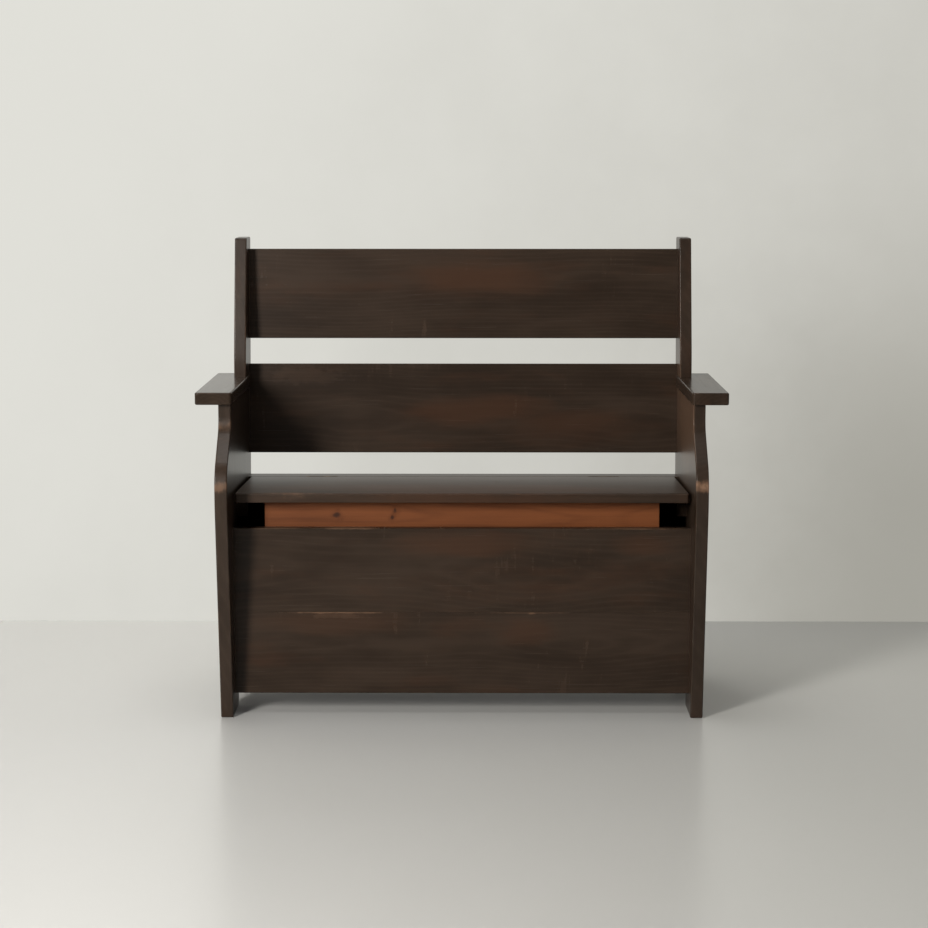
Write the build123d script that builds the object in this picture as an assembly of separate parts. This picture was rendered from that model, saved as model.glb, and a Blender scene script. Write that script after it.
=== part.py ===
from build123d import *
from math import cos, radians, sin, sqrt, tan
import os

# A deacons bench whose seat is the lid of a storage box.
# Millimetres. +X is to the right as seen from the front, +Y is to the rear, +Z is up.
# The origin is on the floor below the middle of the bench.
# A setback is a distance to the rear, measured from the front of the side panels.

# Main sizes
inner_width = 914.0
base_depth = 461.5
seat_front_height = 451.0
back_lean = 5.7

# Side panels
side_thickness = 25.0
foot_setback = 55.0
foot_depth = 106.0
arch_height = 58.0
arch_round = 45.0
toe_round = 2.0
belly_rise = 47.0
belly_height = 68.0
belly_bend_round = 120.0
belly_round = 75.0
post_setback = 86.0
post_height = 44.6
sweep_round = 45.0
upright_depth = 104.0
upright_straight = 62.4
upright_bend_round = 250.0
upright_top_depth = 78.0
upright_top_margin = 24.0
upright_top_round = 6.0
rear_bend = 450.0
rear_bend_round = 300.0
side_ease = 2.5

# Arms
arm_rise = 176.6
arm_thickness = 24.4
arm_front_overhang = 16.0
arm_outer_overhang = 44.5
arm_inner_overhang_front = 3.0
arm_inner_overhang_rear = 5.5
arm_outer_tongue = 83.0
arm_inner_tongue = 29.0
arm_corner_round = 6.0
arm_ease = 3.0
arm_dowel_radius = 4.0
arm_dowel_depth = 15.0
arm_dowel_count = 3

# Back slats
slat_height = 190.0
slat_thickness = 19.0
slat_inset = 20.0
slat_seat_gap = 51.0
slat_gap = 54.0
slat_ease = 2.0
slat_screw_spacing = 80.0
slat_screw_length = 50.0
plug_radius = 5.0
plug_depth = 8.0

# Seat lid and hinge rail
seat_slope = 2.5
lid_setback = 77.0
rail_width = 59.5
lid_thickness = 19.0
lid_arm_clearance = 1.0
lid_rest_gap = 0.3
lid_front_board_depth = 162.0
lid_nose_round = 4.0
lid_ease = 1.5

# Battens under the lid
front_batten_end_gap = 62.0
front_batten_height = 58.0
front_batten_thickness = 19.0
front_batten_swing_gap = 2.5
batten_dowel_radius = 4.0
batten_dowel_depth = 12.0
batten_dowel_count = 4
cross_batten_width = 45.0
cross_batten_thickness = 19.0
cross_batten_inset = 105.0
cross_batten_front_gap = 15.0
cross_batten_rear_gap = 30.0
batten_screw_length = 32.0
batten_screw_edge = 32.0

# Storage box
front_setback = 92.0
front_thickness = 19.0
front_bottom = 41.0
front_lower_board_height = 166.5
hand_gap = 53.7
front_ease = 1.5
front_seam_ease = 0.4
back_thickness = 19.0
back_inset = 6.0
floor_height = 80.0
floor_thickness = 12.0
floor_seam = 1.0
floor_end_gap = 1.0

# Cleats inside the box
floor_cleat_width = 20.0
floor_cleat_height = 20.0
floor_cleat_end_gap = 3.0
seat_cleat_width = 20.0
seat_cleat_height = 40.0
seat_cleat_front_gap = 80.0
seat_cleat_rear_gap = 2.0
seat_cleat_screw_drop = 24.0
corner_cleat_size = 20.0
corner_cleat_drop = 8.0
cleat_screw_length = 34.0
cleat_screw_count = 3
cleat_screw_edge = 40.0
rail_screw_length = 53.0
rail_screw_setback = 20.0

# Butt hinges
hinge_length = 64.0
hinge_inset = 157.0
hinge_drop = 1.8
leaf_height = 15.0
leaf_thickness = 1.2
knuckle_count = 5
knuckle_gap = 0.3
pin_radius = 1.5
pin_head_radius = 2.4
pin_head_height = 1.2
hinge_screw_pitch = 22.0
hinge_screw_length = 20.0

# Screw sections and fits
wood_screw_head = 4.2
wood_screw_shank = 2.2
wood_screw_point = 5.0
hinge_screw_head = 3.0
hinge_screw_shank = 1.6
hinge_screw_point = 3.0
fixing_clearance = 0.05
running_clearance = 0.05
leaf_fit = 0.1
barrel_clearance = 0.4

# Places worked out from the sizes above
inner_face = inner_width / 2
outer_face = inner_face + side_thickness
front_inner_setback = front_setback + front_thickness
back_inner_setback = base_depth - back_inset - back_thickness
front_seam = front_bottom + front_lower_board_height
front_top = seat_front_height - lid_thickness - hand_gap

seat_fall = tan(radians(seat_slope))
hinge_setback = base_depth - rail_width
hinge_height = seat_front_height - (hinge_setback - lid_setback) * seat_fall
seat_rear_height = seat_front_height - (base_depth - lid_setback) * seat_fall
lid_side_gap = max(arm_inner_overhang_front, arm_inner_overhang_rear) + lid_arm_clearance
lid_depth = (hinge_setback - lid_setback) / cos(radians(seat_slope))
rail_depth = rail_width / cos(radians(seat_slope))
cleat_top = lid_thickness + lid_rest_gap
front_batten_length = inner_width - 2 * front_batten_end_gap
hinge_spacing = inner_width - 2 * hinge_inset
barrel_radius = pin_radius + leaf_thickness
axis_setback = hinge_setback - hinge_drop * sin(radians(seat_slope))
axis_height = hinge_height - hinge_drop * cos(radians(seat_slope))

lean_run = tan(radians(back_lean))
slat_rise = slat_height * cos(radians(back_lean))
lower_slat_top = seat_rear_height + slat_seat_gap + slat_rise
upper_slat_top = lower_slat_top + slat_gap + slat_rise
bench_height = upper_slat_top + upright_top_margin
rear_corner_setback = base_depth + (bench_height - rear_bend) * lean_run
bench_depth = rear_corner_setback - upright_top_round * (lean_run + 1 / cos(radians(back_lean)) - 1)

belly_top = seat_front_height + belly_rise
belly_bottom = belly_top - belly_height
arm_underside = seat_front_height + arm_rise
post_bottom = arm_underside - post_height
upright_bend = arm_underside + upright_straight
upright_setback = base_depth + (upright_bend - rear_bend) * lean_run - upright_depth


def from_front(setback):
    """Y of a point that lies the given setback behind the front of the side panels."""
    return setback - bench_depth / 2


def tilted(setback, height, angle):
    """A frame at a line across the bench, whose Z leans to the rear by an angle in degrees."""
    up = (0, sin(radians(angle)), cos(radians(angle)))
    return Plane(origin=(0, from_front(setback), height), x_dir=(1, 0, 0), z_dir=up)


# The seat's frame has its X on the line between the lid and the hinge rail, in the seat's top face.
# The hinge's frame has its X on the pins' axis, a little below that line.
# The back's frame lies in the front face of the slats.
seat = tilted(hinge_setback, hinge_height, seat_slope)
hinge = tilted(axis_setback, axis_height, seat_slope)
back = tilted(base_depth - slat_inset - slat_thickness, rear_bend, back_lean)


def block(low, high):
    """A straight piece between two opposite corners."""
    size = [end - start for start, end in zip(low, high)]
    return Pos(*low) * Box(*size, align=Align.MIN)


def rod(radius, start, length):
    """A round bar that runs from its start along +X."""
    bar = Cylinder(radius, length, align=(Align.CENTER, Align.CENTER, Align.MIN))
    return Plane(origin=start, x_dir=(0, 1, 0), z_dir=(1, 0, 0)) * bar


def spread(count, start, end):
    """Evenly spaced places from start to end."""
    return [start + (end - start) * index / (count - 1) for index in range(count)]


def mirrored(shape):
    """The same piece on the other end of the bench."""
    return mirror(shape, about=Plane.YZ)


def fixing(at, out, length, head, shank, point, grown=0.0):
    """A countersunk screw with its head's face at a place; grown, it is the hole for that screw."""
    profile = Polyline(
        (0, 0),
        (head + grown, 0),
        (shank + grown, shank - head),
        (shank + grown, point - length),
        (0, -length - grown),
        close=True,
    )
    body = revolve(Plane.XZ * make_face(profile), Axis.Z)
    return Plane(origin=at, z_dir=out) * body


def wood_screw(at, out, length, grown=0.0):
    return fixing(at, out, length, wood_screw_head, wood_screw_shank, wood_screw_point, grown)


def hinge_screw(at, out, grown=0.0):
    return fixing(
        at, out, hinge_screw_length, hinge_screw_head, hinge_screw_shank, hinge_screw_point, grown
    )


def dowel(at, radius, depth, grown=0.0):
    """An upright dowel that reaches the same depth into the pieces above and below a place."""
    return Pos(*at) * Cylinder(radius + grown, 2 * (depth + grown))


# Places of the fastenings. Those on both ends of the bench are given for the right end.


def slat_screw_places():
    """Ends of the slats, on the inner face of the right side panel."""
    places = []
    for top in (upper_slat_top, lower_slat_top):
        middle = (top - rear_bend) / cos(radians(back_lean)) - slat_height / 2
        for offset in (-slat_screw_spacing / 2, slat_screw_spacing / 2):
            place = back.from_local_coords(Vector(inner_face, slat_thickness / 2, middle + offset))
            places.append(place)
    return places


def slat_screws(grown=0.0):
    head = Vector(side_thickness - plug_depth, 0, 0)
    return [wood_screw(at + head, (1, 0, 0), slat_screw_length, grown) for at in slat_screw_places()]


def slat_plugs(grown=0.0):
    seat_face = Vector(side_thickness - plug_depth - grown, 0, 0)
    return [rod(plug_radius + grown, at + seat_face, plug_depth + grown) for at in slat_screw_places()]


def arm_dowels(grown=0.0):
    room = (upright_setback - post_setback) / (arm_dowel_count + 1)
    setbacks = [post_setback + room * (index + 1) for index in range(arm_dowel_count)]
    middle = inner_face + side_thickness / 2
    return [dowel((middle, from_front(setback), arm_underside), arm_dowel_radius, arm_dowel_depth, grown)
            for setback in setbacks]


def floor_cleat_screws(grown=0.0):
    head = inner_face - floor_cleat_width
    height = floor_height - floor_cleat_height / 2
    setbacks = spread(cleat_screw_count, front_inner_setback + cleat_screw_edge,
                      back_inner_setback - cleat_screw_edge)
    return [wood_screw((head, from_front(setback), height), (-1, 0, 0), cleat_screw_length, grown)
            for setback in setbacks]


def seat_cleat_span():
    """Front and rear end of a seat cleat, along the seat from the lid's rear."""
    front = front_inner_setback + seat_cleat_front_gap - hinge_setback
    drop = (cleat_top + seat_cleat_height) * seat_fall
    rear = back_inner_setback - seat_cleat_rear_gap - hinge_setback - drop
    return front, rear


def seat_cleat_screws(grown=0.0):
    front, rear = seat_cleat_span()
    head = inner_face - seat_cleat_width
    places = spread(cleat_screw_count, front + cleat_screw_edge, rear - cleat_screw_edge)
    return [seat * wood_screw((head, place, -cleat_top - seat_cleat_screw_drop), (-1, 0, 0),
                              cleat_screw_length, grown) for place in places]


def rail_screws(grown=0.0):
    """One screw up through the seat cleat into the hinge rail."""
    at = (inner_face - seat_cleat_width / 2, rail_screw_setback, -cleat_top - seat_cleat_height)
    return [seat * wood_screw(at, (0, 0, -1), rail_screw_length, grown)]


def front_batten_face():
    """Front of the lid's front batten, along the seat from the lid's rear.

    Its lower edge swings past the top of the front panel and clears it by the swing gap.
    """
    reach = axis_setback - front_inner_setback - front_batten_swing_gap
    rise = axis_height - front_top
    drop = lid_thickness + front_batten_height - hinge_drop
    return -sqrt(reach ** 2 + rise ** 2 - drop ** 2)


def batten_dowels(grown=0.0):
    middle = front_batten_face() + front_batten_thickness / 2
    room = front_batten_length / batten_dowel_count
    places = [room * (index + 0.5) - front_batten_length / 2 for index in range(batten_dowel_count)]
    return [seat * dowel((place, middle, -lid_thickness), batten_dowel_radius, batten_dowel_depth, grown)
            for place in places]


def cross_batten_span():
    """X and Y limits of the right cross batten, in the seat's frame."""
    outer = inner_face - cross_batten_inset
    front = front_batten_face() + front_batten_thickness + cross_batten_front_gap
    return (outer - cross_batten_width, outer), (front, -cross_batten_rear_gap)


def cross_batten_screws(grown=0.0):
    (inner, outer), (front, rear) = cross_batten_span()
    seam = lid_front_board_depth - lid_depth
    places = [front + batten_screw_edge, seam - batten_screw_edge]
    places += [seam + batten_screw_edge, rear - batten_screw_edge]
    under = -lid_thickness - cross_batten_thickness
    return [seat * wood_screw(((inner + outer) / 2, place, under), (0, 0, -1), batten_screw_length, grown)
            for place in places]


def leaf_screws(side, grown=0.0):
    """Screws of the right hinge's leaf on the rail (side 1) or on the lid (side -1)."""
    height = -(leaf_height + barrel_radius) / 2
    return [hinge * hinge_screw((hinge_spacing / 2 + offset, side * pin_radius, height), (0, -side, 0), grown)
            for offset in (-hinge_screw_pitch, 0, hinge_screw_pitch)]


def both_ends(solids):
    return solids + [mirrored(solid) for solid in solids]


def holes(solids, *fixings):
    """Cuts the holes for lists of fixings out of a piece."""
    for group in fixings:
        for hole in group:
            solids -= hole
    return solids


# Frame pieces


def right_side_panel():
    """The shaped end board: foot arch, raked front, belly, sweep to the post, leaning upright."""
    rear_foot = base_depth - foot_depth
    front_foot = foot_setback + foot_depth
    outline = {
        (foot_setback, 0): toe_round,
        (front_foot, 0): toe_round,
        (front_foot, arch_height): arch_round,
        (rear_foot, arch_height): arch_round,
        (rear_foot, 0): toe_round,
        (base_depth, 0): toe_round,
        (base_depth, rear_bend): rear_bend_round,
        (rear_corner_setback, bench_height): upright_top_round,
        (rear_corner_setback - upright_top_depth, bench_height): upright_top_round,
        (upright_setback, upright_bend): upright_bend_round,
        (upright_setback, arm_underside): 0,
        (post_setback, arm_underside): 0,
        (post_setback, post_bottom): sweep_round,
        (0, belly_top): belly_round,
        (0, belly_bottom): belly_bend_round,
    }
    points = [(from_front(setback), height) for setback, height in outline]
    profile = make_face(FilletPolyline(*points, radius=list(outline.values()), close=True))
    panel = extrude(Plane.YZ * profile, side_thickness)
    panel = Pos(inner_face, 0, 0) * panel
    bearing = (0, arm_underside)
    rims = [edge for face in panel.faces().filter_by(Axis.X) for edge in face.edges()
            if all(abs(edge.center().Z - level) > toe_round for level in bearing)]
    panel = fillet(rims, side_ease)
    return holes(
        panel,
        slat_plugs(fixing_clearance),
        slat_screws(fixing_clearance),
        arm_dowels(fixing_clearance),
        floor_cleat_screws(fixing_clearance),
        seat_cleat_screws(fixing_clearance),
    )


def right_arm():
    """A flat arm on the post, with a notch that takes the upright."""
    notch = from_front(upright_setback)
    front = from_front(post_setback - arm_front_overhang)
    outer = outer_face + arm_outer_overhang
    outline = {
        (inner_face - arm_inner_overhang_front, front): arm_corner_round,
        (outer, front): arm_corner_round,
        (outer, notch + arm_outer_tongue): arm_corner_round,
        (outer_face, notch + arm_outer_tongue): 0,
        (outer_face, notch): 0,
        (inner_face, notch): 0,
        (inner_face, notch + arm_inner_tongue): 0,
        (inner_face - arm_inner_overhang_rear, notch + arm_inner_tongue): 0,
    }
    profile = make_face(FilletPolyline(*outline, radius=list(outline.values()), close=True))
    arm = Pos(0, 0, arm_underside) * extrude(profile, arm_thickness)
    rims = [edge for face in arm.faces().filter_by(Axis.Z) for edge in face.edges()
            if not (inner_face - arm_inner_overhang_rear < edge.center().X <= outer_face
                    and edge.center().Y >= notch)]
    return holes(fillet(rims, arm_ease), arm_dowels(fixing_clearance))


def back_slat(top):
    """A wide slat between the side panels, leaning with their rear edges."""
    upper = (top - rear_bend) / cos(radians(back_lean))
    slat = block((-inner_face, 0, upper - slat_height), (inner_face, slat_thickness, upper))
    slat = back * fillet(slat.edges().filter_by(Axis.X), slat_ease)
    return holes(slat, both_ends(slat_screws(fixing_clearance)))


def front_board(bottom, top, lower_ease, upper_ease):
    """A board of the front panel; the edges that meet at the seam are barely eased."""
    front = from_front(front_setback)
    board = block((-inner_face, front, bottom), (inner_face, front + front_thickness, top))
    for end, ease in ((0, lower_ease), (-1, upper_ease)):
        face_edges = board.edges().filter_by(Axis.X).group_by(Axis.Y)[0].sort_by(Axis.Z)
        board = fillet(face_edges[end], ease)
    return board


def box_back(bottom, top):
    """The box's back between two heights, cut off under the hinge rail."""
    front = from_front(back_inner_setback)
    board = block((-inner_face, front, bottom), (inner_face, front + back_thickness, top))
    above = block((-inner_width, -bench_depth, -cleat_top), (inner_width, bench_depth, bench_height))
    return board - seat * above


def floor_boards():
    """Front and rear board of the box's floor."""
    front = from_front(front_inner_setback)
    rear = from_front(back_inner_setback)
    half = inner_face - floor_end_gap
    middle = (front + rear) / 2
    top = floor_height + floor_thickness
    front_half = block((-half, front, floor_height), (half, middle - floor_seam / 2, top))
    rear_half = block((-half, middle + floor_seam / 2, floor_height), (half, rear, top))
    return front_half, rear_half


def right_floor_cleat():
    low = (inner_face - floor_cleat_width, from_front(front_inner_setback + floor_cleat_end_gap),
           floor_height - floor_cleat_height)
    high = (inner_face, from_front(back_inner_setback - floor_cleat_end_gap), floor_height)
    return holes(block(low, high), floor_cleat_screws(fixing_clearance))


def right_seat_cleat():
    front, rear = seat_cleat_span()
    low = (inner_face - seat_cleat_width, front, -cleat_top - seat_cleat_height)
    cleat = seat * block(low, (inner_face, rear, -cleat_top))
    return holes(cleat, seat_cleat_screws(fixing_clearance), rail_screws(fixing_clearance))


def right_corner_cleat(setback, top):
    """An upright glue block in a corner of the box, standing on the floor boards."""
    front = from_front(setback)
    low = (inner_face - corner_cleat_size, front, floor_height + floor_thickness)
    return block(low, (inner_face, front + corner_cleat_size, top))


def hinge_rail():
    """The fixed strip of seat behind the lid, resting on the seat cleats and the box's back."""
    rail = block((-inner_face, pin_radius, -cleat_top), (inner_face, rail_depth, 0))
    rail = fillet(rail.edges().filter_by(Axis.X).group_by(Axis.Z)[-1], lid_ease)
    rail = seat * rail - hinge_seats(1)
    return holes(rail, both_ends(leaf_screws(1, fixing_clearance)), both_ends(rail_screws(fixing_clearance)))


# Hinges


def knuckle_span(index):
    """X limits of one knuckle of the right hinge."""
    pitch = hinge_length / knuckle_count
    left = (hinge_spacing - hinge_length) / 2 + index * pitch
    return left + knuckle_gap / 2, left + pitch - knuckle_gap / 2


def hinge_seats(side):
    """Mortises and barrel grooves of both hinges, in the rail (side 1) or in the lid (side -1)."""
    middle = hinge_spacing / 2
    half = hinge_length / 2 + leaf_fit
    near, far = sorted((0, side * barrel_radius))
    mortise = block((middle - half, near, -leaf_height - leaf_fit), (middle + half, far, leaf_height))
    reach = hinge_length / 2 + pin_head_height + barrel_clearance
    groove = rod(barrel_radius + barrel_clearance, (middle - reach, 0, 0), 2 * reach)
    cutter = hinge * (mortise + groove)
    return cutter + mirrored(cutter)


def right_leaf(side, knuckles):
    """A hinge leaf with its share of the knuckles, on the rail (side 1) or on the lid (side -1)."""
    middle = hinge_spacing / 2
    half = hinge_length / 2
    near, far = sorted((side * pin_radius, side * barrel_radius))
    shoulder = -barrel_radius - knuckle_gap
    leaf = block((middle - half, near, -leaf_height), (middle + half, far, shoulder))
    for index in knuckles:
        start, end = knuckle_span(index)
        leaf += block((start, near, shoulder), (end, far, 0))
        leaf += rod(barrel_radius, (start, 0, 0), end - start)
    leaf -= rod(pin_radius + running_clearance, (middle - half, 0, 0), hinge_length)
    return holes(hinge * leaf, leaf_screws(side, fixing_clearance))


def right_pin():
    left = (hinge_spacing - hinge_length) / 2
    pin = rod(pin_radius, (left, 0, 0), hinge_length)
    for head in (left - pin_head_height, left + hinge_length):
        pin += rod(pin_head_radius, (head, 0, 0), pin_head_height)
    return hinge * pin


# Lid pieces


def lid_board(front, rear):
    """A board of the lid, just short enough to swing up between the arms."""
    half = inner_face - lid_side_gap
    board = block((-half, front, -lid_thickness), (half, rear, 0))
    return fillet(board.edges().filter_by(Axis.Y).group_by(Axis.Z)[-1], lid_ease)


def lid_front_board():
    """The lid's front board, with a rounded nose."""
    board = lid_board(-lid_depth, lid_front_board_depth - lid_depth)
    nose = board.faces().sort_by(Axis.Y)[0].edges().filter_by(Axis.X).sort_by(Axis.Z)
    board = fillet(nose[-1], lid_nose_round)
    lower = board.faces().sort_by(Axis.Y)[0].edges().filter_by(Axis.X).sort_by(Axis.Z)
    board = seat * fillet(lower[0], lid_ease)
    return holes(board, batten_dowels(fixing_clearance), both_ends(cross_batten_screws(fixing_clearance)))


def lid_rear_board():
    """The lid's rear board; its rounded top edge turns past the hinge rail's as the lid opens."""
    board = lid_board(lid_front_board_depth - lid_depth, -pin_radius)
    rear = board.faces().sort_by(Axis.Y)[-1].edges().filter_by(Axis.X).sort_by(Axis.Z)
    board = seat * fillet(rear[-1], lid_ease) - hinge_seats(-1)
    return holes(
        board,
        both_ends(cross_batten_screws(fixing_clearance)),
        both_ends(leaf_screws(-1, fixing_clearance)),
    )


def lid_front_batten():
    """The strip behind the hand gap; it stiffens the lid's front edge."""
    front = front_batten_face()
    half = front_batten_length / 2
    low = (-half, front, -lid_thickness - front_batten_height)
    batten = block(low, (half, front + front_batten_thickness, -lid_thickness))
    return holes(seat * batten, batten_dowels(fixing_clearance))


def right_cross_batten():
    (inner, outer), (front, rear) = cross_batten_span()
    low = (inner, front, -lid_thickness - cross_batten_thickness)
    batten = seat * block(low, (outer, rear, -lid_thickness))
    return holes(batten, cross_batten_screws(fixing_clearance))


# Every piece of the bench, by name

rear_corner = back_inner_setback - corner_cleat_size
under_seat_cleat = (hinge_height - (back_inner_setback - hinge_setback) * seat_fall
                    - (cleat_top + seat_cleat_height) / cos(radians(seat_slope)))
right_pieces = {
    "side_panel": right_side_panel(),
    "arm": right_arm(),
    "floor_cleat": right_floor_cleat(),
    "seat_cleat": right_seat_cleat(),
    "front_corner_cleat": right_corner_cleat(front_inner_setback, front_top - corner_cleat_drop),
    "rear_corner_cleat": right_corner_cleat(rear_corner, under_seat_cleat - corner_cleat_drop),
    "hinge_rail_leaf": right_leaf(1, range(0, knuckle_count, 2)),
    "hinge_lid_leaf": right_leaf(-1, range(1, knuckle_count, 2)),
    "hinge_pin": right_pin(),
    "cross_batten": right_cross_batten(),
}
pieces = {
    "upper_back_slat": back_slat(upper_slat_top),
    "lower_back_slat": back_slat(lower_slat_top),
    "front_upper_board": front_board(front_seam, front_top, front_seam_ease, front_ease),
    "front_lower_board": front_board(front_bottom, front_seam, front_ease, front_seam_ease),
    "box_back_upper_board": box_back(front_seam, seat_front_height),
    "box_back_lower_board": box_back(front_bottom, front_seam),
    "hinge_rail": hinge_rail(),
    "lid_front_board": lid_front_board(),
    "lid_rear_board": lid_rear_board(),
    "lid_front_batten": lid_front_batten(),
    "slat_screws": Compound(both_ends(slat_screws())),
    "slat_plugs": Compound(both_ends(slat_plugs())),
    "arm_dowels": Compound(both_ends(arm_dowels())),
    "floor_cleat_screws": Compound(both_ends(floor_cleat_screws())),
    "seat_cleat_screws": Compound(both_ends(seat_cleat_screws())),
    "rail_screws": Compound(both_ends(rail_screws())),
    "rail_leaf_screws": Compound(both_ends(leaf_screws(1))),
    "lid_leaf_screws": Compound(both_ends(leaf_screws(-1))),
    "front_batten_dowels": Compound(batten_dowels()),
    "cross_batten_screws": Compound(both_ends(cross_batten_screws())),
}
pieces["floor_front_board"], pieces["floor_rear_board"] = floor_boards()
for name, piece in right_pieces.items():
    pieces["right_" + name] = piece
    pieces["left_" + name] = mirrored(piece)

os.makedirs("parts", exist_ok=True)
for name, piece in pieces.items():
    export_step(piece, f"parts/{name}.step")
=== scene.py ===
"""A deacons bench in dark stained pine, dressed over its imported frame."""
from math import cos, radians, sin, tau

import bmesh
import bpy
from mathutils import Matrix, Vector


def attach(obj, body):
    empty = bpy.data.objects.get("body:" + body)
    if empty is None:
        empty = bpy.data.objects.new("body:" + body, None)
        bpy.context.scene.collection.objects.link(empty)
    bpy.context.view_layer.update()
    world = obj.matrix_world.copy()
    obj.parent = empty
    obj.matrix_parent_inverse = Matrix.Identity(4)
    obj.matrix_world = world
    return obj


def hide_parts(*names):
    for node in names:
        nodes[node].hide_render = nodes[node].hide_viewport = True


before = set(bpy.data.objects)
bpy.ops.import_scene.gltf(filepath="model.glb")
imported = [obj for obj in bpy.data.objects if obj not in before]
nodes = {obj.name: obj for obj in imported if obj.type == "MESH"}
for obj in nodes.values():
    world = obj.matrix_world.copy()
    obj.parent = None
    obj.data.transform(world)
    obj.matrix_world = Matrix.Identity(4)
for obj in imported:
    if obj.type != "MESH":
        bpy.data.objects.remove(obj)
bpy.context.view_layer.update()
bpy.ops.object.select_all(action="DESELECT")

# Camera, as worked out from the photograph
camera_place = (0.0305, -4.4886, 1.1219)
camera_turn = (81.92, 0.0, 0.346)
camera_lens = 85.345

# Stage: a floor, a wall, and a backdrop where neither is seen
floor_drop = 0.0003
stage_reach = 9.0
wall_setback = 0.717
wall_height = 6.0
# Painted shade on the stage: the dim colours darken the wall and floor to the right, and the shade colour
# paints a soft shadow low on the right
wall_bright = (0.745, 0.74, 0.69)
wall_dim = (0.525, 0.515, 0.47)
wall_shade = (0.36, 0.35, 0.31)
floor_bright = (0.635, 0.635, 0.63)
floor_dim = (0.605, 0.605, 0.585)
floor_rough = 0.25
floor_gloss = 0.38
floor_glow = 0.04
wall_rough = 0.8
wall_gloss = 0.15
wall_glow = 0.95
rear_floor_rough = 0.6
rear_floor_glow = 1.0
backdrop_colour = (0.72, 0.715, 0.69)
backdrop_in_gloss = 0.4

# Key lamp: a tall window on the left, in front of the bench
key_turn = 31.0
key_rise = 17.5
key_distance = 4.2
key_width = 0.7
key_height = 1.45
key_power = 147.0
key_colour = (1.0, 0.97, 0.92)
key_target = (0.0, 0.0, 0.55)

# Overhead lamp
overhead_place = (-0.3, -0.25, 3.4)
overhead_size = 1.4
overhead_power = 28.0
overhead_colour = (1.0, 0.99, 0.96)

# Rear lamp, behind the wall: it shines on the back of the bench
rear_place = (-0.9, 3.0, 2.4)
rear_target = (0.0, 0.2, 0.5)
rear_size = 1.8
rear_power = 30.0

# Side lamp, low on the right: it shines on the end that the window leaves dark
side_place = (5.0, 0.1, 0.35)
side_target = (0.5, 0.05, 0.95)
side_size = 0.5
side_spread = 60.0
side_power = 7.3

# Soft light from all round
fill_colour = (1.0, 0.98, 0.94)
fill_strength = 0.035

# Slopes of the boards, in degrees about X
back_lean = 5.7
seat_slope = 2.5

# Grain: distance between rings, half width of a glue line, and step of the noise from board to board
ring_pitch = 0.0075
glue_line = 0.0012
board_step = 3.7

# Relief of the finishes
stain_relief = 0.00006
pine_relief = 0.0002
metal_relief = 0.00008

# Colours of the wood, from the deepest stain to bare pine
stain_deep = (0.0250, 0.0157, 0.0103)
stain_open = (0.0460, 0.0302, 0.0210)
# The warmer and the rubbed colours also serve as painted light on the seat lid, the lower back slat and the
# right side panel
warm_and_painted_light_colour = (0.0660, 0.0300, 0.0160)
worn_and_painted_light_colour = (0.140, 0.080, 0.049)
pine_bare = (0.32, 0.19, 0.12)
stain_gloss = 0.15
edge_gloss = 0.22
batten_light = (0.200, 0.065, 0.0222)
batten_dark = (0.112, 0.0352, 0.0124)
knot_dark = (0.045, 0.017, 0.009)
dowel_light = (0.55, 0.38, 0.22)
dowel_dark = (0.40, 0.25, 0.13)

# Aged bronze of the hinges and zinc of the screws
bronze_dark = (0.045, 0.034, 0.025)
bronze_rubbed = (0.16, 0.115, 0.07)
zinc_light = (0.42, 0.40, 0.36)
zinc_dark = (0.20, 0.185, 0.16)
bronze_rough = 0.42
zinc_rough = 0.36

# Screws: radius of the head and the shank, length of the point and pitch of the thread
wood_screw = (0.0042, 0.0022, 0.0050, 0.0022)
hinge_screw = (0.0030, 0.0016, 0.0030, 0.0016)

# Proportions of a screw: shares of its length, its shank and its head, and how its tip and slots narrow
plain_share = 0.4
thread_share = 0.56
core_share = 0.7
rim_share = 0.05
slot_shares = (1.1, 0.24, 1.1)
tip_taper = 0.08
slot_taper = (0.35, 0.8, 1.0)

# Making of the screws: sides of a head, steps in a turn of thread, smoothing angle in degrees, turn from
# one screw to the next in radians, and the distance within which corners are one
head_sides = 32
thread_steps = 24
smooth_angle = 30.0
next_turn = 2.4
touching = 0.00001


class Wire:
    """One output in a finish's node tree; arithmetic on it adds Math nodes."""

    def __init__(self, finish, socket):
        self.finish = finish
        self.socket = socket

    def maths(self, operation, first, second):
        return self.finish.node("Math", {"operation": operation}, {0: first, 1: second})

    def __add__(self, other):
        return self.maths("ADD", self, other)

    def __radd__(self, other):
        return self.maths("ADD", other, self)

    def __sub__(self, other):
        return self.maths("SUBTRACT", self, other)

    def __rsub__(self, other):
        return self.maths("SUBTRACT", other, self)

    def __mul__(self, other):
        return self.maths("MULTIPLY", self, other)

    def __rmul__(self, other):
        return self.maths("MULTIPLY", other, self)

    def __truediv__(self, other):
        return self.maths("DIVIDE", self, other)

    def __pow__(self, other):
        return self.maths("POWER", self, other)


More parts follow.
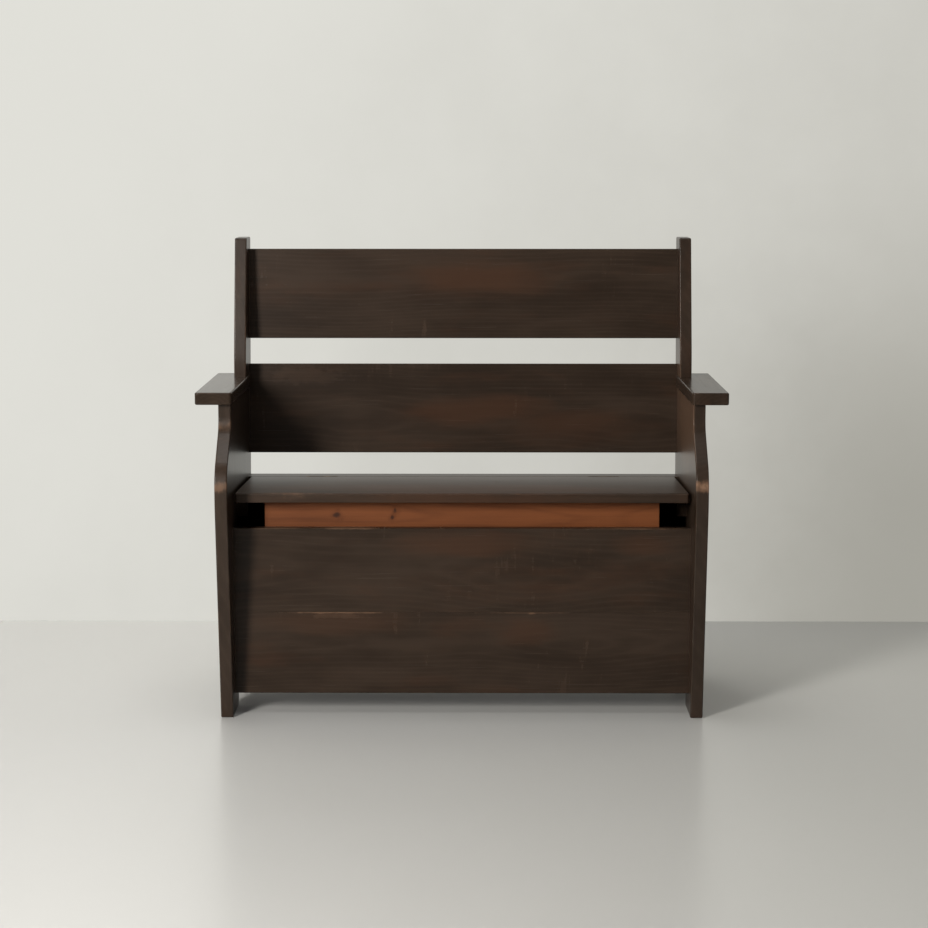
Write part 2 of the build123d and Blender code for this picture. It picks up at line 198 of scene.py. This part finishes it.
class Finish:
    """The look of a material or of the world, put together node by node."""

    def __init__(self, owner):
        self.owner = owner
        owner.use_nodes = True
        self.tree = owner.node_tree
        self.tree.nodes.clear()

    def node(self, kind, settings, sockets, output=0):
        """Adds a node: its settings first, then the values or links of its sockets."""
        made = self.tree.nodes.new("ShaderNode" + kind)
        for name, value in settings.items():
            setattr(made, name, value)
        for name, value in sockets.items():
            if isinstance(value, Wire):
                self.tree.links.new(value.socket, made.inputs[name])
            elif made.inputs[name].type == "RGBA":
                made.inputs[name].default_value = (*value, 1.0)
            else:
                made.inputs[name].default_value = value
        return Wire(self, made.outputs[output])

    def split(self, vector):
        return [self.node("SeparateXYZ", {}, {0: vector}, axis) for axis in "XYZ"]

    def vector(self, x, y, z):
        return self.node("CombineXYZ", {}, {"X": x, "Y": y, "Z": z})

    def noise(self, place, scale=1.0, detail=2.0, roughness=0.5):
        return self.node("TexNoise", {}, {"Vector": place, "Scale": scale, "Detail": detail,
                                          "Roughness": roughness})

    def rise(self, value, low, high):
        """0 below low, 1 above high, and smooth between them; falls instead where low is above high."""
        return self.node("MapRange", {"interpolation_type": "SMOOTHSTEP"},
                         {"Value": value, "From Min": low, "From Max": high})

    def largest(self, first, second):
        return self.node("Math", {"operation": "MAXIMUM"}, {0: first, 1: second})

    def blend(self, share, first, second):
        """A colour that goes from the first to the second."""
        return self.node("Mix", {"data_type": "RGBA"}, {0: share, 6: first, 7: second}, 2)

    def bump(self, height, distance):
        return self.node("Bump", {}, {"Height": height, "Distance": distance})

    def surface(self, **sockets):
        """The shader and the end of the tree; socket names are written with _ for a space."""
        named = {name.replace("_", " "): value for name, value in sockets.items()}
        return self.ends_in(self.node("BsdfPrincipled", {}, named))

    def ends_in(self, shader, kind="OutputMaterial"):
        end = self.tree.nodes.new("ShaderNode" + kind)
        self.tree.links.new(shader.socket, end.inputs["Surface"])
        return self.owner


def new_finish(name):
    return Finish(bpy.data.materials.new(name))


def extent(name, tilt):
    """Lowest and highest corner of a board, in the frame of its own slope."""
    turn = Matrix.Rotation(radians(tilt), 3, "X")
    corners = [turn @ vertex.co for vertex in nodes[name].data.vertices]
    low = [min(corner[axis] for corner in corners) for axis in range(3)]
    high = [max(corner[axis] for corner in corners) for axis in range(3)]
    return low, high


class Board:
    """Coordinates on one board: along the grain, across the face and through the thickness."""

    def __init__(self, finish, name, grain, face, tilt, number):
        self.finish = finish
        low, high = (dict(zip("XYZ", corner)) for corner in extent(name, tilt))
        turn = (radians(tilt), 0.0, 0.0)
        place = finish.node("TexCoord", {}, {}, "Object")
        self.place = finish.node("Mapping", {}, {"Vector": place, "Rotation": turn})
        axes = dict(zip("XYZ", finish.split(self.place)))
        side = next(axis for axis in "XYZ" if axis not in (grain, face))
        self.along = axes[grain]
        self.across = axes[side]
        self.through = axes[face]
        normal = finish.node("TexCoord", {}, {}, "Normal")
        normal = finish.node("Mapping", {"vector_type": "VECTOR"}, {"Vector": normal, "Rotation": turn})
        self.facing = dict(zip("XYZ", finish.split(normal)))[face]
        self.middle = (low[side] + high[side]) / 2
        self.width = high[side] - low[side]
        self.depth = (low[face] + high[face]) / 2
        self.shift = board_step * number

    def streaks(self, along, across, detail=3.0, roughness=0.55, step=0.0):
        """Noise with its own frequency along the grain and across it, in waves a metre."""
        place = self.finish.vector(self.along * along + (self.shift + step), self.across * across,
                                   self.through * across)
        return self.finish.noise(place, 1.0, detail, roughness)

    def rim(self):
        """1 on the rounded edges of the board and 0 on its flat faces."""
        square = self.facing * self.facing
        return 4.0 * square * (1.0 - square)

    def rings(self, pitch, heart_side, heart_depth):
        """Growth rings about a heart that lies beside the board and wanders along it."""
        wander = self.streaks(1.6, 0.0, 1.0, step=11.0) - 0.5
        sway = self.streaks(2.3, 0.0, 1.0, step=23.0) - 0.5
        side = self.across - (self.middle + heart_side) + wander * 0.06
        depth = self.through - (self.depth + heart_depth) + sway * 0.05
        radius = (side * side + depth * depth) ** 0.5
        ripple = self.streaks(5.0, 45.0, 2.0, step=5.0) - 0.5
        turns = (radius + ripple * (0.9 * pitch)) / pitch
        wave = self.finish.node("Math", {"operation": "SINE"}, {0: turns * tau})
        return (0.5 + wave * 0.5) ** 3.0

    def spot(self, centre, reach, ragged):
        """A patch that fades out at its reach, with a ragged border."""
        away = self.finish.node("VectorMath", {"operation": "SUBTRACT"}, {0: self.place, 1: centre})
        away = self.finish.node("VectorMath", {"operation": "DIVIDE"}, {0: away, 1: reach})
        away = self.finish.node("VectorMath", {"operation": "LENGTH"}, {0: away}, "Value")
        return self.finish.rise(away + (ragged - 0.5) * 1.6, 1.0, 0.25)

    def stave(self, share):
        """1 beyond a glue line that lies at a share of the board's width, and 0 before it."""
        line = self.middle + (share - 0.5) * self.width
        wobble = (self.streaks(9.0, 0.0, 2.0, step=59.0) - 0.5) * 0.003
        return self.finish.rise(self.across + wobble, line - glue_line, line + glue_line)


def stained_pine(name, number, grain, face, tilt=0.0, warm_and_painted_light_spots=(), worn_and_painted_light_spots=(), painted_sheen_spots=(),
                 stave=None, matt=0.22, gloss=stain_gloss):
    """Dark stain on pine: fibres, soft rings, rubbed warmer patches, cross scuffs and rubbed edges, and
    given patches of painted light and painted sheen.
    """
    finish = new_finish(name + "_stain")
    board = Board(finish, name, grain, face, tilt, number)
    heart_side = 0.03 * sin(2.4 * number)
    heart_depth = -0.055 - 0.02 * cos(1.7 * number)
    rings = board.rings(ring_pitch, heart_side, heart_depth)
    fibre = board.streaks(6.0, 230.0, 3.0, 0.6)
    strand = board.streaks(3.0, 55.0, 3.0, 0.6, step=31.0)
    cloud = board.streaks(4.5, 15.0, 3.0, 0.55, step=47.0)
    drift = board.streaks(4.0, 16.0, 4.0, 0.6, step=71.0)
    scuff = board.streaks(62.0, 11.0, 3.0, 0.55, step=13.0)
    patch = board.streaks(7.0, 9.0, 2.0, 0.5, step=17.0)
    nibble = board.streaks(38.0, 38.0, 3.0, 0.6, step=91.0)
    fleck = board.streaks(50.0, 260.0, 3.0, 0.6, step=83.0)
    stretch = board.streaks(4.5, 5.0, 2.0, 0.5, step=107.0)

    tone = cloud * 0.62 + strand * 0.16 + fibre * 0.12 + rings * 0.07
    if stave:
        share, shade = stave
        tone = tone + board.stave(share) * shade
    colour = finish.blend(finish.rise(tone, 0.27, 0.68), stain_deep, stain_open)
    # Warmer tone from random drift and from the given patches; those on the lid are painted light
    warm_and_painted_light = finish.rise(drift, 0.50, 0.80) * 0.5
    for centre, reach, strength in warm_and_painted_light_spots:
        warm_and_painted_light = finish.largest(warm_and_painted_light, board.spot(centre, reach, drift) * strength)
    colour = finish.blend(warm_and_painted_light * (0.7 + 0.3 * fibre), colour, warm_and_painted_light_colour)
    scuffed = finish.rise(scuff, 0.56, 0.82) * finish.rise(patch, 0.50, 0.70)
    colour = finish.blend(scuffed * 0.17, colour, worn_and_painted_light_colour)
    # Painted sheen: the given patches turn pale where the board catches the light
    for centre, reach, strength in painted_sheen_spots:
        painted_sheen = board.spot(centre, reach, 0.5 + (cloud - 0.5) * 0.5)
        colour = finish.blend(painted_sheen * strength * (0.7 + 0.6 * fibre), colour, worn_and_painted_light_colour)

    # Rubbed edges and given spots, one of which is painted light
    worn_and_painted_light = board.rim() * finish.rise(nibble * 0.45 + stretch * 0.6, 0.52, 0.70) * 0.3
    for centre, reach, strength in worn_and_painted_light_spots:
        worn_and_painted_light = finish.largest(worn_and_painted_light, board.spot(centre, reach, nibble * 0.7 + fleck * 0.3) * strength)
    colour = finish.blend(finish.rise(worn_and_painted_light, 0.0, 0.5), colour, worn_and_painted_light_colour)
    colour = finish.blend(finish.rise(worn_and_painted_light, 0.45, 1.0) * (0.5 + fleck * 0.9), colour, pine_bare)

    roughness = matt + fibre * 0.08 + worn_and_painted_light * 0.25 + scuffed * 0.05
    height = fibre * 0.6 + strand * 0.2 - worn_and_painted_light * 0.5
    return finish.surface(Base_Color=colour, Roughness=roughness, Specular_IOR_Level=gloss,
                          Normal=finish.bump(height, stain_relief))


def natural_pine(name, number, grain, face, tilt, knots=()):
    """Reddish oiled pine with clear rings and dark knots."""
    finish = new_finish(name + "_pine")
    board = Board(finish, name, grain, face, tilt, number)
    rings = board.rings(ring_pitch, 0.02 * sin(2.1 * number), -0.05)
    fibre = board.streaks(6.0, 300.0, 4.0, 0.65)
    cloud = board.streaks(3.0, 12.0, 3.0, 0.55, step=47.0)
    tone = rings * 0.12 + fibre * 0.35 + cloud * 0.6
    colour = finish.blend(finish.rise(tone, 0.30, 0.85), batten_light, batten_dark)
    for centre, reach in knots:
        ragged = board.streaks(60.0, 60.0, 2.0, 0.5, step=19.0)
        halo = board.spot(centre, [2.2 * size for size in reach], ragged)
        knot = board.spot(centre, reach, ragged)
        colour = finish.blend(halo * 0.6, colour, batten_dark)
        colour = finish.blend(knot, colour, knot_dark)
    roughness = 0.38 + fibre * 0.15
    height = fibre * 0.5 + rings * 0.4
    return finish.surface(Base_Color=colour, Roughness=roughness, Specular_IOR_Level=stain_gloss,
                          Normal=finish.bump(height, pine_relief))


def plain_wood(name, number, grain, face, light, dark):
    """Close-grained turned wood for the dowels and the plugs."""
    finish = new_finish(name + "_wood")
    board = Board(finish, name, grain, face, 0.0, number)
    fibre = board.streaks(30.0, 900.0, 3.0, 0.6)
    cloud = board.streaks(25.0, 60.0, 2.0, 0.5, step=3.0)
    colour = finish.blend(fibre * 0.6 + cloud * 0.4, light, dark)
    return finish.surface(Base_Color=colour, Roughness=0.4 + fibre * 0.2,
                          Normal=finish.bump(fibre, pine_relief))


def rubbed_metal(name, dark, light, roughness):
    """Aged metal, brighter and smoother where it is handled."""
    finish = new_finish(name + "_metal")
    place = finish.node("TexCoord", {}, {}, "Object")
    cloud = finish.noise(place, 90.0, 4.0, 0.6)
    pits = finish.noise(place, 900.0, 2.0, 0.5)
    colour = finish.blend(finish.rise(cloud, 0.45, 0.75), dark, light)
    rough = roughness + (0.5 - cloud) * 0.3 + pits * 0.08
    return finish.surface(Base_Color=colour, Metallic=1.0, Roughness=rough,
                          Normal=finish.bump(pits, metal_relief))


def paint(name, material):
    """Gives a node of the frame its only material."""
    slots = nodes[name].data.materials
    slots.clear()
    slots.append(material)


def both(name):
    return ["left_" + name, "right_" + name]


# Where the stain is rubbed to a warmer tone, and where it is rubbed through: centre, reach and strength.
# Some entries are painted light instead, as noted below.
warm_and_painted_light_places = {
    "upper_back_slat": [((0.03, 0.0, 0.87), (0.24, 1.0, 0.055), 0.75)],
    "lower_back_slat": [((0.03, 0.0, 0.59), (0.22, 1.0, 0.045), 0.7),
                        ((0.22, 0.0, 0.555), (0.22, 1.0, 0.05), 0.55)],
    "front_upper_board": [((0.03, 0.0, 0.348), (0.2, 1.0, 0.035), 0.65),
                          ((0.37, 0.0, 0.345), (0.09, 1.0, 0.03), 0.55)],
    "front_lower_board": [((0.12, 0.0, 0.17), (0.08, 1.0, 0.04), 0.55),
                          ((-0.25, 0.0, 0.185), (0.2, 1.0, 0.03), 0.4)],
    # Painted light: the patches on the lid boards brighten the seat top, which the lamps light too little
    "lid_front_board": [((0.0, -0.1, 0.44), (0.5, 0.2, 1.0), 0.8)],
    "lid_rear_board": [((0.0, 0.06, 0.44), (0.5, 0.2, 1.0), 0.35)],
}
worn_and_painted_light_places = {
    "front_upper_board": [((-0.23, 0.0, 0.3775), (0.09, 1.0, 0.0025), 0.4),
                          ((-0.37, 0.0, 0.3775), (0.09, 1.0, 0.0022), 0.2),
                          ((0.345, 0.0, 0.3775), (0.12, 1.0, 0.0025), 0.3)],
    "front_lower_board": [((-0.25, 0.0, 0.2065), (0.14, 1.0, 0.0028), 0.44),
                          ((-0.25, 0.0, 0.2005), (0.07, 1.0, 0.009), 0.15),
                          ((0.13, 0.0, 0.2065), (0.14, 1.0, 0.002), 0.2),
                          ((0.141, 0.0, 0.2055), (0.012, 1.0, 0.003), 0.4)],
    "lid_front_board": [((-0.34, -0.19, 0.44), (0.1, 0.01, 0.02), 0.3)],
    # Painted light: a faint spot that lifts the shading at the top left of the lower back slat
    "lower_back_slat": [((-0.33, 0.0, 0.665), (0.12, 1.0, 0.035), 0.1)],
}
for panel, belly, sweep in (("left_side_panel", 0.5, 0.36), ("right_side_panel", 0.85, 0.08)):
    worn_and_painted_light_places[panel] = [((0.0, -0.26, 0.476), (1.0, 0.030, 0.017), belly),
                          ((0.0, -0.165, 0.583), (1.0, 0.02, 0.022), sweep)]

# Painted sheen: a soft pale patch on the inner face of the right side panel, where it catches the light
painted_sheen_places = {"right_side_panel": [((0.457, 0.0, 0.6), (0.005, 0.36, 0.19), 0.68)]}

# Boards glued up from two staves: share of the width below the glue line, and the shade above it
staves = {
    "upper_back_slat": (0.56, 0.05),
    "lower_back_slat": (0.64, -0.09),
    "front_lower_board": (0.49, 0.06),
}

# Roughness and gloss where they differ: the seat is dulled by use, the ends are polished by hands
seat_finish = {"matt": 0.32, "gloss": 0.17}
board_finish = {name: seat_finish for name in ("lid_front_board", "lid_rear_board", "hinge_rail")}
board_finish |= {"left_arm": {"matt": 0.16, "gloss": edge_gloss},
                 "right_arm": {"matt": 0.2, "gloss": 0.17}}
board_finish |= {name: {"matt": 0.26, "gloss": edge_gloss} for name in both("side_panel")}
board_finish |= {name: {"matt": 0.5, "gloss": 0.05} for name in both("seat_cleat")}

# Direction of the grain, the axis that the broad face looks along, and the slope of each board
boards = {name: ("X", "Y", 0.0) for name in ("front_upper_board", "front_lower_board",
                                             "box_back_upper_board", "box_back_lower_board")}
boards |= {name: ("X", "Z", 0.0) for name in ("floor_front_board", "floor_rear_board")}
boards |= {name: ("X", "Y", back_lean) for name in ("upper_back_slat", "lower_back_slat")}
boards |= {name: ("X", "Z", seat_slope) for name in ("hinge_rail", "lid_front_board", "lid_rear_board")}
boards |= {name: ("Z", "X", 0.0) for name in both("side_panel")}
boards |= {name: ("Y", "Z", 0.0) for name in both("arm")}
boards |= {name: ("Y", "X", 0.0) for name in both("floor_cleat")}
boards |= {name: ("Y", "X", seat_slope) for name in both("seat_cleat")}
boards |= {name: ("Z", "X", 0.0) for name in both("front_corner_cleat") + both("rear_corner_cleat")}

for number, (name, (grain, face, tilt)) in enumerate(boards.items()):
    paint(name, stained_pine(name, number, grain, face, tilt, warm_and_painted_light_places.get(name, ()),
                             worn_and_painted_light_places.get(name, ()), painted_sheen_places.get(name, ()), staves.get(name),
                             **board_finish.get(name, {})))

# Knots that show in the front batten: centre and reach
batten_knots = [
    ((-0.252, -0.14, 0.394), (0.010, 1.0, 0.008)),
    ((-0.134, -0.14, 0.405), (0.005, 1.0, 0.008)),
    ((-0.139, -0.14, 0.390), (0.005, 1.0, 0.006)),
]
paint("lid_front_batten", natural_pine("lid_front_batten", 3, "X", "Y", seat_slope, batten_knots))
for number, name in enumerate(both("cross_batten")):
    paint(name, natural_pine(name, 8 + number, "Y", "Z", seat_slope))
paint("slat_plugs", plain_wood("slat_plugs", 1, "X", "Y", stain_open, stain_deep))
for name in ("arm_dowels", "front_batten_dowels"):
    paint(name, plain_wood(name, 2, "Z", "Y", dowel_light, dowel_dark))
for name in both("hinge_rail_leaf") + both("hinge_lid_leaf") + both("hinge_pin"):
    paint(name, rubbed_metal(name, bronze_dark, bronze_rubbed, bronze_rough))


def alone(shape):
    """Makes a shape the only one that is selected."""
    bpy.ops.object.select_all(action="DESELECT")
    shape.select_set(True)
    bpy.context.view_layer.objects.active = shape


def twin(shape):
    """A copy of a shape, with a mesh of its own."""
    copy = shape.copy()
    copy.data = shape.data.copy()
    bpy.context.scene.collection.objects.link(copy)
    return copy


def draw_down(depth, scale):
    """Draws the selected face down, and scales it about the Z axis."""
    bpy.ops.mesh.extrude_region_move(TRANSFORM_OT_translate={"value": (0.0, 0.0, -depth)})
    bpy.ops.transform.resize(value=(scale, scale, 1.0), center_override=(0.0, 0.0, 0.0))


def pick_between(shape, low, high):
    """Selects the edges that lie between two heights."""
    bpy.ops.mesh.select_mode(type="EDGE")
    bpy.ops.mesh.select_all(action="DESELECT")
    mesh = bmesh.from_edit_mesh(shape.data)
    for edge in mesh.edges:
        edge.select_set(all(low < end.co.z < high for end in edge.verts))
    bmesh.update_edit_mesh(shape.data)


def screw_blank(head, shank, core, point, length):
    """A plain screw with a flat countersunk head: its face is at the origin and its point is down."""
    plain = plain_share * length
    bpy.ops.mesh.primitive_circle_add(vertices=head_sides, radius=head, fill_type="NGON")
    blank = bpy.context.object
    bpy.ops.object.mode_set(mode="EDIT")
    bpy.ops.mesh.select_all(action="SELECT")
    draw_down(head - shank, shank / head)
    draw_down(plain - (head - shank), 1.0)
    draw_down(shank - core, core / shank)
    draw_down(length - plain - (shank - core) - point, 1.0)
    draw_down(point, tip_taper)
    bpy.ops.mesh.select_all(action="SELECT")
    bpy.ops.mesh.normals_make_consistent(inside=False)
    pick_between(blank, -0.01 * head, 0.01 * head)
    bpy.ops.mesh.bevel(offset=rim_share * head, segments=2)
    bpy.ops.object.mode_set(mode="OBJECT")
    return blank


def cut_slot(screw, head, turn):
    """Cuts one tapered slot of the cross into a head."""
    bpy.ops.mesh.primitive_cube_add(size=1.0)
    wedge = bpy.context.object
    bpy.ops.object.mode_set(mode="EDIT")
    bpy.ops.mesh.select_all(action="SELECT")
    size = [share * head for share in slot_shares]
    bpy.ops.transform.resize(value=size, center_override=(0.0, 0.0, 0.0))
    pick_between(wedge, -head, -0.1 * head)
    bpy.ops.transform.resize(value=slot_taper, center_override=(0.0, 0.0, 0.0))
    bpy.ops.object.mode_set(mode="OBJECT")
    wedge.rotation_euler.z = radians(turn)
    alone(screw)
    slot = screw.modifiers.new("slot", "BOOLEAN")
    slot.operation = "DIFFERENCE"
    slot.object = wedge
    bpy.ops.object.modifier_apply(modifier="slot")
    alone(wedge)
    bpy.ops.object.delete()


def thread(shank, core, point, pitch, length):
    """A sharp ridge that winds up from the point, with closed ends."""
    bpy.ops.mesh.primitive_circle_add(vertices=4, radius=shank - core)
    ridge = bpy.context.object
    bpy.ops.object.mode_set(mode="EDIT")
    bpy.ops.mesh.select_all(action="SELECT")
    bpy.ops.transform.rotate(value=radians(90.0), orient_axis="X", center_override=(0.0, 0.0, 0.0))
    bpy.ops.transform.translate(value=(core, 0.0, point - length))
    bpy.ops.object.mode_set(mode="OBJECT")
    winding = ridge.modifiers.new("winding", "SCREW")
    winding.screw_offset = pitch
    winding.iterations = int((thread_share * length - point) / pitch)
    winding.steps = winding.render_steps = thread_steps
    bpy.ops.object.modifier_apply(modifier="winding")
    bpy.ops.object.mode_set(mode="EDIT")
    bpy.ops.mesh.select_mode(type="EDGE")
    bpy.ops.mesh.select_all(action="DESELECT")
    bpy.ops.mesh.select_non_manifold()
    bpy.ops.mesh.fill_holes(sides=0)
    bpy.ops.mesh.select_all(action="SELECT")
    bpy.ops.mesh.normals_make_consistent(inside=False)
    bpy.ops.object.mode_set(mode="OBJECT")
    return ridge


def cross_head_screw(head, shank, point, pitch, length):
    """A countersunk screw with a cross slot and a thread."""
    core = core_share * shank
    screw = screw_blank(head, shank, core, point, length)
    cut_slot(screw, head, 0.0)
    cut_slot(screw, head, 90.0)
    ridge = thread(shank, core, point, pitch, length)
    alone(screw)
    ridge.select_set(True)
    bpy.ops.object.join()
    bpy.ops.object.shade_smooth_by_angle(angle=radians(smooth_angle))
    return screw


def separate_solids(name):
    """The corners of each separate solid in a node, from left to right."""
    alone(twin(nodes[name]))
    bpy.ops.object.mode_set(mode="EDIT")
    bpy.ops.mesh.select_all(action="SELECT")
    bpy.ops.mesh.remove_doubles(threshold=touching)
    bpy.ops.mesh.separate(type="LOOSE")
    bpy.ops.object.mode_set(mode="OBJECT")
    solids = [[corner.co.copy() for corner in solid.data.vertices]
              for solid in bpy.context.selected_objects]
    bpy.ops.object.delete()
    return sorted(solids, key=lambda corners: tuple(corners[0]))


def set_screws(name, kind, body, out):
    """Puts a cross-head screw in the place of each plain one, with its head towards out."""
    heads = []
    for corners in separate_solids(name):
        facing = Vector((out[0] if corners[0].x > 0 else -out[0], out[1], out[2]))
        heights = [corner.dot(facing) for corner in corners]
        length = max(heights) - min(heights)
        face = [corner for corner, height in zip(corners, heights) if height > max(heights) - touching]
        heads.append((sum(face, Vector()) / len(face), facing))
    pattern = cross_head_screw(*kind, length)
    copies = [twin(pattern) for _ in heads]
    for number, (copy, (place, facing)) in enumerate(zip(copies, heads)):
        upright = facing.to_track_quat("Z", "Y").to_matrix().to_4x4()
        turn = Matrix.Rotation(next_turn * number, 4, "Z")
        copy.data.transform(Matrix.Translation(place) @ upright @ turn)
    alone(pattern)
    bpy.ops.object.delete()
    alone(copies[0])
    for copy in copies:
        copy.select_set(True)
    bpy.ops.object.join()
    piece = bpy.context.object
    piece.name = name.removesuffix("s") + "_set"
    piece.data.materials.clear()
    piece.data.materials.append(rubbed_metal(name, zinc_dark, zinc_light, zinc_rough))
    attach(piece, body)
    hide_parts(name)


# Directions that the heads look in; those on the lid and the hinge rail follow the slope of the seat
slope = radians(seat_slope)
to_front = (0.0, -cos(slope), sin(slope))
to_rear = (0.0, cos(slope), -sin(slope))
down = (0.0, -sin(slope), -cos(slope))
to_middle = (-1.0, 0.0, 0.0)
to_outside = (1.0, 0.0, 0.0)
set_screws("slat_screws", wood_screw, "bench", to_outside)
set_screws("floor_cleat_screws", wood_screw, "bench", to_middle)
set_screws("seat_cleat_screws", wood_screw, "bench", to_middle)
set_screws("rail_screws", wood_screw, "bench", down)
set_screws("rail_leaf_screws", hinge_screw, "bench", to_front)
set_screws("lid_leaf_screws", hinge_screw, "seat_lid", to_rear)
set_screws("cross_batten_screws", wood_screw, "seat_lid", down)


def stage_paint(name, bright, dim, shade, roughness, gloss, glow):
    """Pale cloudy paint with painted shade, dimmer to the right and low on the right as if in shadow, that
    partly shows as its own colour.

    It is clear from behind, and to the light of the lamp behind the wall.
    """
    finish = new_finish(name)
    place = finish.node("TexCoord", {}, {}, "Object")
    across, _, up = finish.split(place)
    cloud = finish.noise(place, scale=2.2, detail=5.0, roughness=0.65) - 0.5
    # Painted shade: darker to the right and lower down
    painted_falloff = finish.rise(across - 0.6 * up + cloud, low=-1.8, high=1.5)
    colour = finish.blend(painted_falloff, bright, dim)
    # Painted shadow: a soft dark patch low on the right
    corner = finish.rise(across + 0.3 * cloud, low=0.2, high=1.1) * finish.rise(up, low=1.15, high=0.25)
    colour = finish.blend(0.85 * corner, colour, shade)
    lit = finish.node("BsdfPrincipled", {}, {"Base Color": colour, "Roughness": roughness,
                                             "Specular IOR Level": gloss})
    own = finish.node("Emission", {}, {"Color": colour})
    camera_ray = finish.node("LightPath", {}, {}, "Is Camera Ray")
    glossy_ray = finish.node("LightPath", {}, {}, "Is Glossy Ray")
    front = finish.node("MixShader", {}, {0: finish.largest(camera_ray, glossy_ray) * glow, 1: lit, 2: own})
    behind = finish.node("NewGeometry", {}, {}, "Backfacing")
    shadow_ray = finish.node("LightPath", {}, {}, "Is Shadow Ray")
    clear = finish.node("BsdfTransparent", {}, {})
    return finish.ends_in(finish.node("MixShader", {}, {0: finish.largest(behind, shadow_ray), 1: front,
                                                        2: clear}))


def stage_plane(name, place, turn, width, height, material):
    bpy.ops.mesh.primitive_plane_add(size=1.0)
    plane = bpy.context.object
    plane.name = name
    plane.data.transform(Matrix.Diagonal((width, height, 1.0, 1.0)))
    plane.data.transform(Matrix.Rotation(radians(turn), 4, "X"))
    plane.data.transform(Matrix.Translation(place))
    plane.data.materials.append(material)


stage_size = 2 * stage_reach
stage_plane("floor", (0.0, wall_setback - stage_reach, -floor_drop), 0.0, stage_size, stage_size,
            stage_paint("floor_paint", floor_bright, floor_dim, floor_dim, floor_rough, floor_gloss,
                        floor_glow))
stage_plane("rear_floor", (0.0, wall_setback + stage_reach, -floor_drop), 0.0, stage_size, stage_size,
            stage_paint("rear_floor_paint", wall_bright, wall_bright, wall_bright, rear_floor_rough,
                        wall_gloss, rear_floor_glow))
stage_plane("wall", (0.0, wall_setback, wall_height / 2 - floor_drop), 90.0, stage_size, wall_height,
            stage_paint("wall_paint", wall_bright, wall_dim, wall_shade, wall_rough, wall_gloss, wall_glow))


def area_lamp(name, place, back, width, height, power, colour):
    """A flat lamp that shines away from its back."""
    lamp = bpy.data.lights.new(name, "AREA")
    lamp.shape = "RECTANGLE"
    lamp.size = width
    lamp.size_y = height
    lamp.energy = power
    lamp.color = colour
    holder = bpy.data.objects.new(name, lamp)
    holder.location = place
    holder.rotation_mode = "QUATERNION"
    holder.rotation_quaternion = back.to_track_quat("Z", "Y")
    bpy.context.scene.collection.objects.link(holder)
    return holder


turn, rise = radians(key_turn), radians(key_rise)
toward_key = Vector((-sin(turn) * cos(rise), -cos(turn) * cos(rise), sin(rise)))
toward_rear = Vector(rear_place) - Vector(rear_target)
toward_side = Vector(side_place) - Vector(side_target)
straight_up = Vector((0.0, 0.0, 1.0))
area_lamp("key_lamp", Vector(key_target) + toward_key * key_distance, toward_key, key_width, key_height,
          key_power, key_colour)
area_lamp("overhead_lamp", overhead_place, straight_up, overhead_size, overhead_size, overhead_power,
          overhead_colour)
area_lamp("rear_lamp", rear_place, toward_rear, rear_size, rear_size, rear_power, overhead_colour)
side_lamp = area_lamp("side_lamp", side_place, toward_side, side_size, side_size, side_power,
                      overhead_colour)
side_lamp.data.spread = radians(side_spread)
side_lamp.visible_camera = False
side_lamp.visible_glossy = False

# The camera and the gloss on the wood see a pale backdrop in the place of the soft light
studio = Finish(bpy.data.worlds.new("studio"))
fill = studio.node("Background", {}, {"Color": fill_colour, "Strength": fill_strength})
backdrop = studio.node("Background", {}, {"Color": backdrop_colour})
seen = studio.largest(studio.node("LightPath", {}, {}, "Is Camera Ray"),
                      backdrop_in_gloss * studio.node("LightPath", {}, {}, "Is Glossy Ray"))
bpy.context.scene.world = studio.ends_in(studio.node("MixShader", {}, {0: seen, 1: fill, 2: backdrop}),
                                         "OutputWorld")

# Camera
camera_data = bpy.data.cameras.new("camera")
camera_data.lens = camera_lens
camera = bpy.data.objects.new("camera", camera_data)
camera.location = camera_place
camera.rotation_euler = [radians(angle) for angle in camera_turn]
bpy.context.scene.collection.objects.link(camera)
bpy.context.scene.camera = camera
bpy.context.scene.view_settings.view_transform = "Standard"
